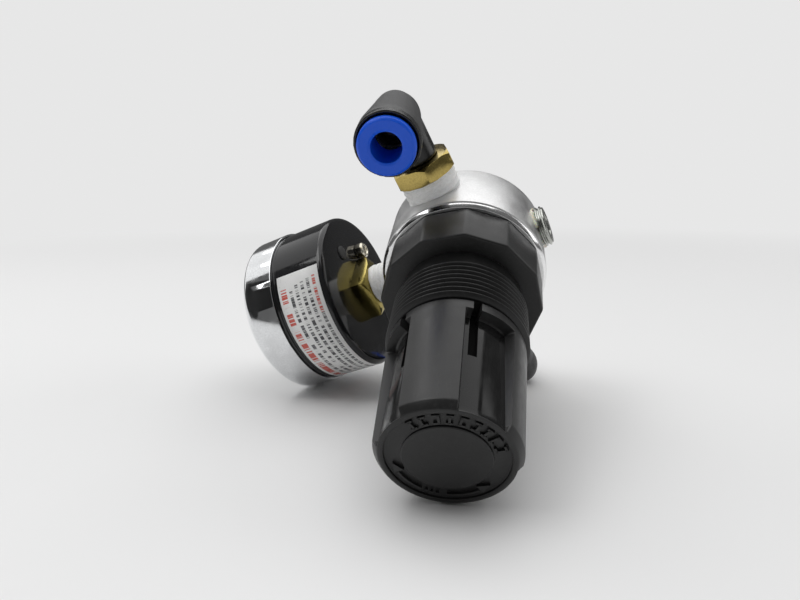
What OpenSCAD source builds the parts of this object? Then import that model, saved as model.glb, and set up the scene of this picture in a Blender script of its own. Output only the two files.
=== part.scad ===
// Miniature relieving pressure regulator for carbon dioxide, lying on a bench on its knob rim,
// its gauge rim and the end of its inlet elbow.
// Each piece is drawn about the regulator's own axis: +Z runs out through the knob and Z = 0 is
// the front rim of the body. One transform, at_rest(), then lays every piece down.

/* [Resting pose] */
// Angle of the knob's axis below the bench's horizontal, degrees
rest_tip = 24.658; // [20:0.001:30]
// Turn of the regulator about its own axis, degrees
rest_roll = 22.625; // [15:0.001:30]

/* [Body] */
// Outside diameter of the body
body_d = 40; // [38:0.5:44]
// Length of the body from its front rim to its back
body_len = 20; // [20:0.5:24]
// Depth of the four port axes behind the front rim
port_depth = 11.8; // [11.8:0.1:12.4]

/* [Bonnet] */
// Corner-to-corner size of the flange where it meets the body
flange_d = 38.2; // [36:0.1:39]
// Height of the twelve-sided flange
flange_h = 11; // [8:0.1:12]
// Outside diameter of the panel thread
panel_d = 30; // [30:1:30]
// Pitch of the panel thread
panel_pitch = 1.5; // [1:0.5:1.5]
// Number of thread crests left showing
panel_crests = 8; // [6:1:8]

/* [Knob] */
// Distance from the front rim of the body to the knob's skirt
knob_z = 28.2; // [28.2:0.1:29]
// Length of the knob
knob_len = 27.2; // [26:0.1:29]
// Diameter over the lands at the skirt
knob_d = 28.4; // [28:0.1:29]
// Turn of the knob about the axis, degrees
knob_turn = 81; // [0:1:90]
// How far the knob pulls out to unlock
knob_pull = 3; // [2:0.5:3]

/* [Elbows] */
// Distance from the regulator's axis to the tube's axis
elbow_reach = 39.7; // [39:0.1:42]
// Distance from the stem's axis to the face of the release collet
collet_reach = 21.3; // [20:0.1:23]
// Outside diameter of the tube that the collets take
tube_d = 6.35; // [6:0.01:6.35]
// Swivel of the outlet elbow about its stem, degrees from the knob's direction
outlet_swivel = 2.6; // [-20:0.1:20]
// Swivel of the inlet elbow about its stem, degrees from the knob's direction
inlet_swivel = 143; // [135:1:160]
// How much further out the inlet elbow's stud stands than the outlet's
inlet_out = 0.8; // [0:0.1:1.5]

/* [Gauge] */
// Diameter of the gauge's bezel
bezel_d = 43.6; // [42:0.1:44]
// Diameter of the gauge's case
case_d = 42.4; // [41:0.1:42.6]
// Distance from the regulator's axis to the back of the case
case_reach = 30.5; // [30:0.1:32]
// Depth of the case from its back to the bezel
case_len = 15.7; // [15:0.1:17]
// Depth of the bezel
bezel_len = 10.3; // [9:0.1:11]

/* [Hidden] */
$fn = 96;
// overlap of a cut past the face it opens
cut = 0.5;
// radial clearance of a running fit
run = 0.05;

silver = [0.80, 0.80, 0.80];
black = [0.10, 0.10, 0.11];
brass = [0.72, 0.58, 0.28];
steel = [0.62, 0.63, 0.65];
rubber = [0.06, 0.06, 0.06];
tape_white = [0.93, 0.93, 0.91];
collet_blue = [0.12, 0.32, 0.80];

body_r = body_d / 2;
port_z = -port_depth;
outlet_angle = 90;
inlet_angle = -90;
plug_angle = 0;
gauge_angle = 180;

// 1/4 inch and 1/8 inch pipe threads, drawn plain
pipe4_r = 6.6;
pipe8_r = 4.9;
port4_floor = 10.2;
port8_floor = 11;
// outside of the thread tape, and the countersinks that its end stands in
tape4_r = 6.8;
tape8_r = 5.3;
port4_face = 18.3;
port8_face = 19;

// the cavities of the body, as Z levels
rim_bore_r = 17;
ledge_z = -4;
chamber_z = -4.6;
seat_z = -6;
valve_top_z = -8;
plug_shoulder_z = -15.5;
chamber_r = 13.5;
well_r = 9;
orifice_r = 2;
valve_r = 6;
plug_bore_r = 9;

// how far the pipe plug stands out of the body
plug_out = 2.1;

// depth of the knob's bore, which still laps the snout of the bonnet when the knob is pulled
knob_bore = 16.5 + knob_pull;
// slits that let the skirt spring, beside two of the lands
slit_w = 1.5;
slit_len = 14.3;
slit_angles = [-32, 32, 148, 212];
// groove round the disc on the knob's face
face_groove_r = 10.95;
face_disc_r = 7.9;

// bonnet
panel_r = panel_d / 2;
panel_depth = 0.8;
thread_z = flange_h + 4.6;
thread_len = panel_pitch * panel_crests;
snout_r = 10.4;
snout_top = 46;
web_z = 43;
spring_bore_r = 9;
nose_z = -2.6;
flange_turn = 4;
rib_w = 2;
rib_h = 1;
rib_z = 14;

// adjusting screw, nut and range spring
screw_r = 2.95;
shank_r = 4;
screw_bottom = 14;
flange_z = web_z - 1.8;
washer_z = flange_z + 0.95;
drive_d = 7.9;
drive_top = knob_z + knob_len - 2;
nut_z = 25;
nut_h = 4;
nut_r = 8.6;
plate_z = ledge_z + 0.85;
plate_t = 1.25;

// lays a piece down; the shift puts the origin under the middle of the whole regulator
rest_shift = [18.815, 3.982, 34.557];
module at_rest() {
    translate(rest_shift)
    rotate([90 + rest_tip, 0, 0])
    rotate([0, 0, rest_roll])
    children();
}

// local +Z runs out of a port, local +X runs the knob's way, turned about the port by swivel and
// moved outward by out
module at_port(angle, swivel = 0, out = 0) {
    rotate([0, 0, angle])
    translate([out, 0, port_z])
    rotate([0, 90, 0])
    rotate([0, 0, 180 + swivel])
    children();
}

module disc(z0, z1, r) {
    translate([0, 0, z0]) cylinder(h = z1 - z0, r = r);
}

module ring(z0, z1, r_out, r_in) {
    difference() {
        disc(z0, z1, r_out);
        disc(z0 - cut, z1 + cut, r_in);
    }
}

module o_ring(z, r_mid, r_wire) {
    translate([0, 0, z]) rotate_extrude() translate([r_mid, 0]) circle(r = r_wire, $fn = 24);
}

// a round wire along a helix, closed at both ends
module helix(z0, z1, r_mid, r_wire, turns, steps = 20, sides = 8) {
    count = ceil(turns * steps);
    points = [
        for (i = [0:count], k = [0:sides - 1])
        let (a = 360 * turns * i / count, b = 360 * k / sides, r = r_mid + r_wire * cos(b))
        [r * cos(a), r * sin(a), z0 + (z1 - z0) * i / count + r_wire * sin(b)]
    ];
    walls = [
        for (i = [0:count - 1], k = [0:sides - 1])
        let (n = (k + 1) % sides, p = i * sides, q = p + sides)
        [p + k, q + k, q + n, p + n]
    ];
    ends = [
        [for (k = [0:sides - 1]) k],
        [for (k = [sides - 1:-1:0]) count * sides + k]
    ];
    polyhedron(points = points, faces = concat(walls, ends), convexity = 8);
}

// The regulator

module body() at_rest() color(silver) {
    groove = 0.35;
    difference() {
        rotate_extrude() polygon([
            [0, -body_len], [body_r - 1, -body_len], [body_r, -body_len + 1],
            [body_r, -1.7], [body_r - groove, -1.5], [body_r - groove, -1.1],
            [body_r - 0.05, -0.9], [body_r - 0.75, 0], [0, 0]
        ]);
        disc(ledge_z, cut, rim_bore_r);
        disc(chamber_z, 0, chamber_r);
        disc(seat_z, 0, well_r);
        disc(valve_top_z - cut, 0, orifice_r);
        disc(-body_len, valve_top_z, valve_r);
        disc(-body_len - cut, plug_shoulder_z, plug_bore_r);
        for (a = [outlet_angle, inlet_angle]) at_port(a) disc(port4_floor, body_d, pipe4_r);
        for (a = [plug_angle, gauge_angle]) at_port(a) disc(port8_floor, body_d, pipe8_r);
        for (a = [outlet_angle, inlet_angle]) at_port(a) disc(port4_face, body_d, tape4_r + 0.15);
        at_port(gauge_angle) disc(port8_face, body_d, tape8_r + 0.15);
        at_port(inlet_angle) disc(0, port4_floor + cut, 2.5);
        rotate([0, 0, outlet_angle]) translate([12, 0, 0]) disc(port_z, 0, 1.2);
        for (a = [plug_angle, gauge_angle])
            rotate([0, 0, a]) translate([12.2, 0, 0]) disc(port_z, 0, 1);
    }
}

function thread_points(z, r, pitch, depth, n) = [
    for (i = [0:n - 1])
    each [
        [r - depth, z + pitch * i], [r, z + pitch * (i + 0.42)],
        [r, z + pitch * (i + 0.58)], [r - depth, z + pitch * (i + 1)]
    ]
];

module bonnet() at_rest() color(black) {
    difference() {
        union() {
            disc(nose_z, 0, rim_bore_r - 0.05);
            rotate([0, 0, flange_turn])
                cylinder(h = flange_h, r1 = flange_d / 2, r2 = flange_d / 2 - 0.45, $fn = 12);
            rotate_extrude() polygon(concat(
                [[0, 0], [panel_r - 0.9, 0], [panel_r - 0.9, thread_z]],
                thread_points(thread_z, panel_r, panel_pitch, panel_depth, panel_crests),
                [[snout_r, thread_z + thread_len], [snout_r, snout_top], [0, snout_top]]
            ));
        }
        disc(nose_z - cut, 6, chamber_r);
        disc(0, web_z, spring_bore_r);
        disc(0, snout_top + cut, shank_r + run);
    }
    for (a = [0, 180]) rotate([0, 0, a])
        translate([spring_bore_r - rib_h, -rib_w / 2, rib_z]) cube([rib_h + 0.3, rib_w, web_z - rib_z]);
}

module knob() at_rest() color(black) translate([0, 0, knob_z]) rotate([0, 0, knob_turn]) {
    r0 = knob_d / 2;
    r1 = r0 - 1.1;
    land = 46;
    collar = 2.8;
    floor_r = 12.1;
    socket = drive_top - knob_z + 0.35;
    difference() {
        union() {
            rotate_extrude() polygon([
                [0, 0], [r0 - 0.5, 0], [r0, 0.5], [r0, collar], [floor_r + 0.2, collar],
                [floor_r, knob_len - 0.3], [floor_r - 0.3, knob_len], [0, knob_len]
            ]);
            for (a = [0:90:270]) rotate([0, 0, a - land / 2]) rotate_extrude(angle = land)
                polygon([
                    [floor_r - 1, collar - 0.2], [r0, collar - 0.2], [r1, knob_len - 1.1],
                    [floor_r - 0.1, knob_len - 0.15], [floor_r - 1, knob_len - 0.15]
                ]);
        }
        disc(-cut, knob_bore, snout_r + 0.3);
        ring(knob_len - 0.5, knob_len + cut, face_groove_r, face_disc_r);
        translate([0, 0, knob_bore - cut])
            cylinder(h = socket - knob_bore + cut, d = drive_d + 0.2, $fn = 6);
        for (a = slit_angles) rotate([0, 0, a])
            translate([snout_r - 1, -slit_w / 2, -cut]) cube([8, slit_w, slit_len + cut]);
    }
}

module adjusting_screw() at_rest() color(steel) {
    disc(screw_bottom, flange_z + 0.1, screw_r);
    disc(flange_z, flange_z + 0.9, 6);
    disc(flange_z + 0.8, snout_top + 0.9, shank_r);
    translate([0, 0, snout_top + 0.8]) rotate([0, 0, knob_turn])
        cylinder(h = drive_top - snout_top - 0.8, d = drive_d, $fn = 6);
}

module thrust_washer() at_rest() color(brass)
    ring(washer_z, washer_z + 0.8, 7, shank_r + 0.1);

module screw_clip() at_rest() color(steel)
    ring(snout_top + 0.05, snout_top + 0.55, 5.6, shank_r + 0.02);

module spring_nut() at_rest() color(brass) difference() {
    union() {
        disc(nut_z, nut_z + nut_h, nut_r);
        disc(nut_z - 3, nut_z + 0.1, 5.2);
    }
    disc(0, web_z, screw_r + run);
    for (a = [0, 180]) rotate([0, 0, a])
        translate([spring_bore_r - rib_h - 0.2, -rib_w / 2 - 0.1, nut_z - cut])
            cube([4, rib_w + 0.2, nut_h + 2 * cut]);
}

module range_spring() at_rest() color(steel)
    helix(plate_z + plate_t + 1.05, nut_z - 1.05, 6.6, 1, 7.5, 16);

module slip_ring() at_rest() color([0.85, 0.85, 0.8]) ring(ledge_z + 0.82, nose_z - 0.02, 16.8, 13.6);

module diaphragm() at_rest() color(rubber) ring(ledge_z, ledge_z + 0.8, 16.7, 1.85);

module diaphragm_plate() at_rest() color(steel) difference() {
    union() {
        disc(plate_z, plate_z + plate_t, 8.4);
        disc(plate_z, plate_z + plate_t + 1.4, 5.4);
    }
    disc(plate_z - cut, 0, 1.82);
}

module relief_seat() at_rest() color(brass) difference() {
    union() {
        disc(ledge_z - 0.6, ledge_z - 0.05, 3.2);
        disc(ledge_z - 0.1, plate_z + plate_t + 0.6, 1.8);
    }
    disc(ledge_z - 1, 0, 0.6);
}

module valve_poppet() at_rest() color(brass) {
    disc(-17.5, -10, 1.9);
    disc(-10.2, -8.8, 4.4);
    disc(-9, ledge_z - 0.65, 1);
}

module poppet_seal() at_rest() color(rubber) ring(-8.78, -8.04, 3.8, 1.05);

module valve_spring() at_rest() color(steel) helix(-16.1, -10.6, 3.2, 0.3, 5, 14, 6);

module bottom_plug() at_rest() color(brass) difference() {
    union() {
        disc(-body_len - 2.2, -16.5, plug_bore_r - 0.05);
        disc(-body_len - 2.2, -body_len - 0.05, 10.5);
    }
    disc(-18.5, -16, 1.9 + run);
    translate([-6, -0.8, -body_len - 3.2]) cube([12, 1.6, 2]);
}

module bottom_seal() at_rest() color(rubber) o_ring(-16, 7.6, 0.45);

module pipe_plug() at_rest() color(steel) at_port(plug_angle) difference() {
    union() {
        disc(port8_floor + 3, body_r, pipe8_r - 0.05);
        disc(body_r - 0.1, body_r + plug_out, pipe8_r - 0.35);
        for (i = [0:1]) translate([0, 0, body_r + 0.5 + i * 0.94]) rotate_extrude() polygon([
            [pipe8_r - 0.5, -0.45], [pipe8_r + 0.1, -0.1], [pipe8_r + 0.1, 0.1],
            [pipe8_r - 0.5, 0.45]
        ]);
    }
    translate([0, 0, body_r - 2.5]) cylinder(h = 6, d = 5.5, $fn = 6);
}

// The push-in elbows, drawn with the stem along +Z and the tube along +X

stud_hex = 14;
hex_z = 23.9;
hex_h = 4.1;
hex_turn = 15;
stem_r = 3.4;
leg_r = 4.8;
leg_top = elbow_reach + 5.6;
barrel_r = 7;
barrel_back = -4.6;
barrel_round = 7.4;
barrel_rear_r = 5.8;
barrel_front = collet_reach - 2;
barrel_cap_r = 1.6;
dome_h = leg_top - elbow_reach - 0.9;
tube_bore_r = tube_d / 2 + 0.06;
collar_r = 5.2;
sleeve_r = 4.3;

module stud() color(brass) difference() {
    union() {
        disc(port4_floor + 3.2, hex_z + 0.1, pipe4_r - 0.05);
        intersection() {
            translate([0, 0, hex_z]) rotate([0, 0, hex_turn])
                cylinder(h = hex_h, r = stud_hex / 2 / cos(30), $fn = 6);
            rotate_extrude() polygon([
                [0, hex_z], [stud_hex / 2 + 0.2, hex_z], [stud_hex / 2 + 1.2, hex_z + 0.7],
                [stud_hex / 2 + 1.2, hex_z + hex_h - 0.7], [stud_hex / 2 + 0.2, hex_z + hex_h],
                [0, hex_z + hex_h]
            ]);
        }
        difference() {
            disc(hex_z + hex_h - 0.1, elbow_reach - 3.6, stem_r);
            ring(hex_z + hex_h + 1.2, hex_z + hex_h + 2.3, stem_r + 1, stem_r - 0.75);
        }
    }
    disc(0, elbow_reach, 2);
}

module stud_ring() color(rubber) o_ring(hex_z + hex_h + 1.75, stem_r - 0.2, 0.5);

module tape(out = 0) color(tape_white)
    ring(port4_face + 0.05 - out, hex_z - 0.02, tape4_r, pipe4_r - 0.03);

module elbow_shell() color(black) {
    neck_z = hex_z + hex_h + 0.15;
    difference() {
        union() {
            disc(neck_z, elbow_reach, leg_r);
            rotate_extrude() polygon(concat(
                [[0, elbow_reach - 1], [leg_r, elbow_reach - 1]],
                [for (a = [0:10:90]) [leg_r * cos(a), elbow_reach + 0.9 + dome_h * sin(a)]]
            ));
            along_tube() rotate_extrude() polygon(concat(
                [[0, barrel_front], [barrel_r, barrel_front], [barrel_r, barrel_front - 4]],
                [for (a = [0:10:90]) [
                    barrel_cap_r + (barrel_rear_r - barrel_cap_r) * cos(a),
                    barrel_back + barrel_round * (1 - sin(a))
                ]],
                [[0, barrel_back]]
            ));
        }
        disc(neck_z - cut, elbow_reach - 3.4, stem_r + run);
        translate([0, 0, neck_z + 0.9]) o_ring_seat();
        disc(neck_z, elbow_reach, 2);
        translate([0, 0, elbow_reach]) rotate([0, 90, 0]) {
            disc(0, barrel_front, 2);
            disc(5, barrel_front, tube_bore_r);
            disc(8.5, barrel_front + cut, collar_r);
            disc(barrel_front - 1, barrel_front + cut, 6.3);
        }
    }
}

module o_ring_seat() disc(0, 1.6, stem_r + 0.35);

module along_tube() translate([0, 0, elbow_reach]) rotate([0, 90, 0]) children();

module tube_seal() color(rubber) along_tube() ring(8.6, 11, collar_r - 0.02, tube_bore_r + 0.02);

module grip_ring() color(steel) along_tube() difference() {
    ring(11.1, 11.5, collar_r - 0.02, tube_bore_r + 0.25);
    for (a = [0:45:315]) rotate([0, 0, a])
        translate([tube_bore_r, -0.25, 11]) cube([1.1, 0.5, 1]);
}

module guide_ring() color(brass) along_tube()
    ring(12, barrel_front - 1.02, collar_r - 0.02, sleeve_r + run);

module collet() color(collet_blue) along_tube() difference() {
    union() {
        disc(13.2, barrel_front + 0.4, sleeve_r);
        disc(barrel_front + 0.2, collet_reach, 6.1);
    }
    disc(0, collet_reach + cut, tube_bore_r);
}

module outlet_stud() at_rest() at_port(outlet_angle) stud();
module outlet_tape() at_rest() at_port(outlet_angle) tape();
module outlet_stud_ring() at_rest() at_port(outlet_angle) stud_ring();
module outlet_elbow() at_rest() at_port(outlet_angle, outlet_swivel) elbow_shell();
module outlet_tube_seal() at_rest() at_port(outlet_angle, outlet_swivel) tube_seal();
module outlet_grip_ring() at_rest() at_port(outlet_angle, outlet_swivel) grip_ring();
module outlet_guide_ring() at_rest() at_port(outlet_angle, outlet_swivel) guide_ring();
module outlet_collet() at_rest() at_port(outlet_angle, outlet_swivel) collet();
module inlet_stud() at_rest() at_port(inlet_angle, 0, inlet_out) stud();
module inlet_tape() at_rest() at_port(inlet_angle, 0, inlet_out) tape(inlet_out);
module inlet_stud_ring() at_rest() at_port(inlet_angle, 0, inlet_out) stud_ring();
module inlet_elbow() at_inlet() elbow_shell();
module inlet_tube_seal() at_inlet() tube_seal();
module inlet_grip_ring() at_inlet() grip_ring();
module inlet_guide_ring() at_inlet() guide_ring();
module inlet_collet() at_inlet() collet();
module at_inlet() at_rest() at_port(inlet_angle, inlet_swivel, inlet_out) children();

// The gauge, drawn with its axis along +Z and its face the +Z way

case_r = case_d / 2;
bezel_r = bezel_d / 2;
case_front = case_reach + case_len;
gauge_front = case_front + bezel_len;
block_af = 12;
block_turn = -6;
block_z = case_reach - 4.2;
label_arc = 150;
screw_reach = 11.4;
screw_turns = [141, 219];
screw_head_r = 2.2;
screw_head_h = 2.4;
// rounding of the can's back edge, and the label's edge from the back
edge_r = 1.9;
label_edge = 1.5;
vent_reach = 12.6;
vent_r = 1.9;
dial_z = case_front + 1.2;
window_z = gauge_front - 3.4;
pillar_z = case_reach + 5;
top_plate_z = case_reach + 11;
pointer_zero = -135;

// the tube's root and free tip, by angle about the gauge's axis
tube_root = 105;
tube_tip = -150;
tube_arc = 246.5;

// movement: a toothed sector turns the pointer's pinion
arbor_r = 0.8;
gear_module = 0.25;
pinion_teeth = 10;
sector_teeth = 60;
gear_centre = gear_module * (pinion_teeth + sector_teeth) / 2;
gear_z = case_reach + 7.9;
tail_len = 4;
tail_turn = 157.5;
link_len = 8.6;
coil_steps = 60;
coil_turn = 18;

module at_gauge() at_rest() at_port(gauge_angle) children();

module gauge_socket() at_gauge() color(brass) difference() {
    union() {
        disc(port8_floor + 2.4, block_z + 0.1, pipe8_r - 0.05);
        intersection() {
            rotate([0, 0, block_turn]) translate([-block_af / 2, -block_af / 2, block_z])
                cube([block_af, block_af, case_reach - block_z - 0.02]);
            rotate_extrude() polygon([
                [0, block_z], [block_af / 2 + 0.3, block_z], [block_af / 2 + 2.6, block_z + 1.3],
                [block_af / 2 + 2.6, case_reach], [0, case_reach]
            ]);
        }
        disc(case_reach - 0.1, pillar_z, 5);
        disc(case_reach + 0.95, case_reach + 2.9, 13.4);
        rotate([0, 0, tube_root]) translate([11, -2, case_reach + 2.8]) cube([4.8, 4, 5.4]);
        rotate([0, 0, tube_root]) translate([11, -2, case_reach + 0.95]) cube([4.8, 4, 2]);
    }
    disc(0, case_reach + 2, 1.2);
    for (a = screw_turns) rotate([0, 0, a])
        translate([screw_reach, 0, 0]) disc(case_reach, case_reach + 3.2, 1.05);
}

module gauge_tape() at_gauge() color(tape_white)
    ring(port8_face + 0.05, block_z - 0.02, tape8_r, pipe8_r - 0.03);

module gauge_case() at_gauge() color(black) difference() {
    rotate_extrude() polygon(concat(
        [[0, case_reach]],
        [for (a = [-90:15:0])
            [case_r - edge_r + edge_r * cos(a), case_reach + edge_r + edge_r * sin(a)]],
        [[case_r, case_front - 0.1], [case_r - 0.1, window_z - 0.02], [0, window_z - 0.02]]
    ));
    disc(case_reach + 0.9, gauge_front, case_r - 2.4);
    disc(dial_z - 0.02, gauge_front, case_r - 0.9);
    disc(case_reach - cut, gauge_front, 5.02);
    for (a = screw_turns) rotate([0, 0, a])
        translate([screw_reach, 0, 0]) disc(case_reach - cut, case_reach + 2, 1.05);
    translate([0, vent_reach, 0]) disc(case_reach - cut, case_reach + 2, vent_r + 0.02);
}

module gauge_label() at_gauge() color([0.92, 0.92, 0.9]) rotate([0, 0, 56 - label_arc])
    rotate_extrude(angle = label_arc) translate([case_r + 0.01, case_reach + label_edge])
    square([0.12, case_len - label_edge - 1.3]);

module gauge_screws() at_gauge() color(brass) for (a = screw_turns) rotate([0, 0, a])
    translate([screw_reach, 0, case_reach]) difference() {
        union() {
            disc(-screw_head_h, -0.02, screw_head_r);
            disc(-0.1, 3, 1);
        }
        translate([0, 0, -screw_head_h - cut]) cylinder(h = cut + 0.45, r = screw_head_r - 0.9);
    }

module gauge_vent() at_gauge() color(rubber) translate([0, vent_reach, 0])
    disc(case_reach - 0.35, case_reach + 0.85, vent_r);

module gauge_bezel() at_gauge() color([0.85, 0.85, 0.87])
    rotate_extrude() polygon(concat(
        [[case_r + 0.02, case_front], [bezel_r, case_front + 0.1]],
        [for (a = [0:15:90])
            [bezel_r - 2.4 + 2.4 * cos(a), gauge_front - 2.4 + 2.4 * sin(a)]],
        [[17.8, gauge_front], [17.8, gauge_front - 0.7], [case_r + 0.02, gauge_front - 2]]
    ));

module gauge_window() at_gauge() color([0.8, 0.85, 0.88, 0.4])
    disc(window_z, gauge_front - 2.1, case_r - 0.2);

module gauge_dial() at_gauge() color([0.95, 0.95, 0.94]) ring(dial_z, dial_z + 0.5, 20, 1.4);

// the pointer rests on zero, to the lower left of a dial whose top is the knob's way
module gauge_pointer() at_gauge() color(black) rotate([0, 0, pointer_zero]) {
    disc(dial_z + 1.5, dial_z + 2.6, 2);
    translate([0, 0, dial_z + 1.8]) linear_extrude(0.4)
        polygon([[-6, -1], [15, -0.2], [15, 0.2], [-6, 1]]);
}

// a bent flat tube, closed by a block at its free tip
module bourdon_tube() at_gauge() color(brass) {
    tube_z = case_reach + 3;
    rotate([0, 0, tube_tip]) rotate_extrude(angle = tube_arc) translate([14, tube_z])
        difference() {
            square([1.6, 5]);
            translate([0.3, 0.3]) square([1, 4.4]);
        }
    rotate([0, 0, tube_tip]) translate([13.4, -1.5, tube_z]) cube([2.4, 1.6, 5]);
}

module movement_frame() at_gauge() color(brass) {
    for (z = [pillar_z + 0.02, top_plate_z]) difference() {
        translate([-11.6, -4.5, z]) cube([17.6, 9, 0.9]);
        disc(z - cut, z + 2, arbor_r + run);
        translate([-gear_centre, 0, 0]) disc(z - cut, z + 2, arbor_r + run);
    }
    for (x = [-10.7, 5], y = [-3.6, 3.6]) translate([x, y, 0])
        disc(pillar_z + 0.8, top_plate_z + 0.1, 0.8);
}

module pointer_shaft() at_gauge() color(brass) {
    disc(pillar_z + 0.1, dial_z + 1.45, arbor_r);
    translate([0, 0, gear_z - 0.3]) linear_extrude(1.6) difference() {
        gear_teeth(pinion_teeth, [0:pinion_teeth - 1], 0.5);
        circle(r = arbor_r - 0.1);
    }
}

module sector_gear() at_gauge() color(brass) translate([-gear_centre, 0, 0]) {
    disc(pillar_z + 0.1, top_plate_z + 0.8, arbor_r);
    disc(gear_z, gear_z + 1, 1.8);
    translate([0, 0, gear_z]) linear_extrude(1) difference() {
        gear_teeth(sector_teeth, [-9:1], 0);
        circle(r = arbor_r - 0.1);
    }
    rotate([0, 0, tail_turn]) difference() {
        translate([0.5, -0.8, gear_z]) cube([tail_len + 0.4, 1.6, 1]);
        translate([tail_len, 0, 0]) disc(gear_z - cut, gear_z + 2, 0.4 + run);
    }
}

// the wheel rim between the first and last of the teeth listed, joined to the hub
module gear_teeth(teeth, which, phase) {
    pitch_r = teeth * gear_module / 2;
    root_r = pitch_r - 1.2 * gear_module;
    step = 360 / teeth;
    polygon(concat([[0, 0]], [
        for (i = which)
        let (a = (i + phase) * step)
        each [
            polar(root_r, a - 0.4 * step), polar(root_r, a - 0.26 * step),
            polar(pitch_r, a - 0.19 * step), polar(pitch_r + 0.8 * gear_module, a - 0.08 * step),
            polar(pitch_r + 0.8 * gear_module, a + 0.08 * step), polar(pitch_r, a + 0.19 * step),
            polar(root_r, a + 0.26 * step), polar(root_r, a + 0.4 * step)
        ]
    ]));
}

function polar(r, a) = [r * cos(a), r * sin(a)];

// a flat coil from the pointer's shaft to a stud on the frame's upper plate
function coil_r(i) = arbor_r + 0.1 + 2.6 * i / coil_steps;
module hairspring() at_gauge() color(steel) translate([0, 0, top_plate_z - 1])
    linear_extrude(0.25) polygon(concat(
        [for (i = [0:coil_steps]) polar(coil_r(i), i * coil_turn)],
        [for (i = [coil_steps:-1:0]) polar(coil_r(i) + 0.12, i * coil_turn)]
    ));

module movement_link() at_gauge() color(brass) {
    tail = [-gear_centre, 0] + polar(tail_len, tail_turn);
    translate([tail[0], tail[1], 0]) {
        disc(gear_z + 0.1, gear_z + 1.5, 0.4);
        difference() {
            translate([-0.7, -link_len - 0.7, gear_z + 1.1]) cube([1.4, link_len + 1.4, 0.5]);
            translate([0, -link_len, 0]) disc(gear_z, gear_z + 2, 0.4);
        }
    }
}

body();
bonnet();
knob();
adjusting_screw();
thrust_washer();
screw_clip();
spring_nut();
range_spring();
slip_ring();
diaphragm();
diaphragm_plate();
relief_seat();
valve_poppet();
poppet_seal();
valve_spring();
bottom_plug();
bottom_seal();
pipe_plug();
outlet_stud();
outlet_tape();
outlet_stud_ring();
outlet_elbow();
outlet_tube_seal();
outlet_grip_ring();
outlet_guide_ring();
outlet_collet();
inlet_stud();
inlet_tape();
inlet_stud_ring();
inlet_elbow();
inlet_tube_seal();
inlet_grip_ring();
inlet_guide_ring();
inlet_collet();
gauge_socket();
gauge_tape();
gauge_case();
gauge_label();
gauge_screws();
gauge_vent();
gauge_bezel();
gauge_window();
gauge_dial();
gauge_pointer();
bourdon_tube();
movement_frame();
sector_gear();
pointer_shaft();
hairspring();
movement_link();
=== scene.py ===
import math

import bmesh
import bpy
from mathutils import Matrix, Vector, noise


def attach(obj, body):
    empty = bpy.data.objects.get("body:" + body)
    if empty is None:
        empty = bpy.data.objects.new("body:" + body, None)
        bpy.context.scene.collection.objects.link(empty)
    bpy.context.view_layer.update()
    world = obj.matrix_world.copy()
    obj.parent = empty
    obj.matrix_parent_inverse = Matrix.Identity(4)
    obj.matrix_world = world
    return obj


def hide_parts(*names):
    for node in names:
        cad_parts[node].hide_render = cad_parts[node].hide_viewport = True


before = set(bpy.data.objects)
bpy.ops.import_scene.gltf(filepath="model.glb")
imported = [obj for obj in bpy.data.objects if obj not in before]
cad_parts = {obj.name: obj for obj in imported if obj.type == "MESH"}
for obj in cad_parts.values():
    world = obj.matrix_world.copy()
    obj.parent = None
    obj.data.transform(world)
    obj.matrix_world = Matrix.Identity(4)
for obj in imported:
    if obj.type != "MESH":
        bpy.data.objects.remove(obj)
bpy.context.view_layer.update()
print("frame loaded:", len(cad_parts), "nodes")

# How the regulator lies. In its own frame, in millimetres, +Z runs out through the knob and Z = 0
# is the body's front rim.
lie = {
    "tip": 24.658,
    "roll": 22.625,
    "shift": (18.815, 3.982, 34.557),
    "portZ": -11.8,
}
mm = 0.001
rad = math.radians
identity = Matrix.Identity(4)
toBench = (
    Matrix.Translation(Vector(lie["shift"]))
    @ Matrix.Rotation(rad(90 + lie["tip"]), 4, "X")
    @ Matrix.Rotation(rad(lie["roll"]), 4, "Z")
)


def move(x, y, z):
    return Matrix.Translation((x, y, z))


def turn(degrees, axis):
    return Matrix.Rotation(rad(degrees), 4, axis)


def port(angle, swivel=0.0, out=0.0):
    # local +Z runs out of the port and local +X runs the knob's way
    return turn(angle, "Z") @ move(out, 0, lie["portZ"]) @ turn(90, "Y") @ turn(180 + swivel, "Z")


outletStem = port(90)
inletStem = port(-90, 0, 0.8)
outletTurned = port(90, 2.6)
inletTurned = port(-90, 143, 0.8)
plugPort = port(0)
gaugePort = port(180)
tubeReach = 39.7
outletTube = outletTurned @ move(0, 0, tubeReach) @ turn(90, "Y")
inletTube = inletTurned @ move(0, 0, tubeReach) @ turn(90, "Y")


# materials

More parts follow.
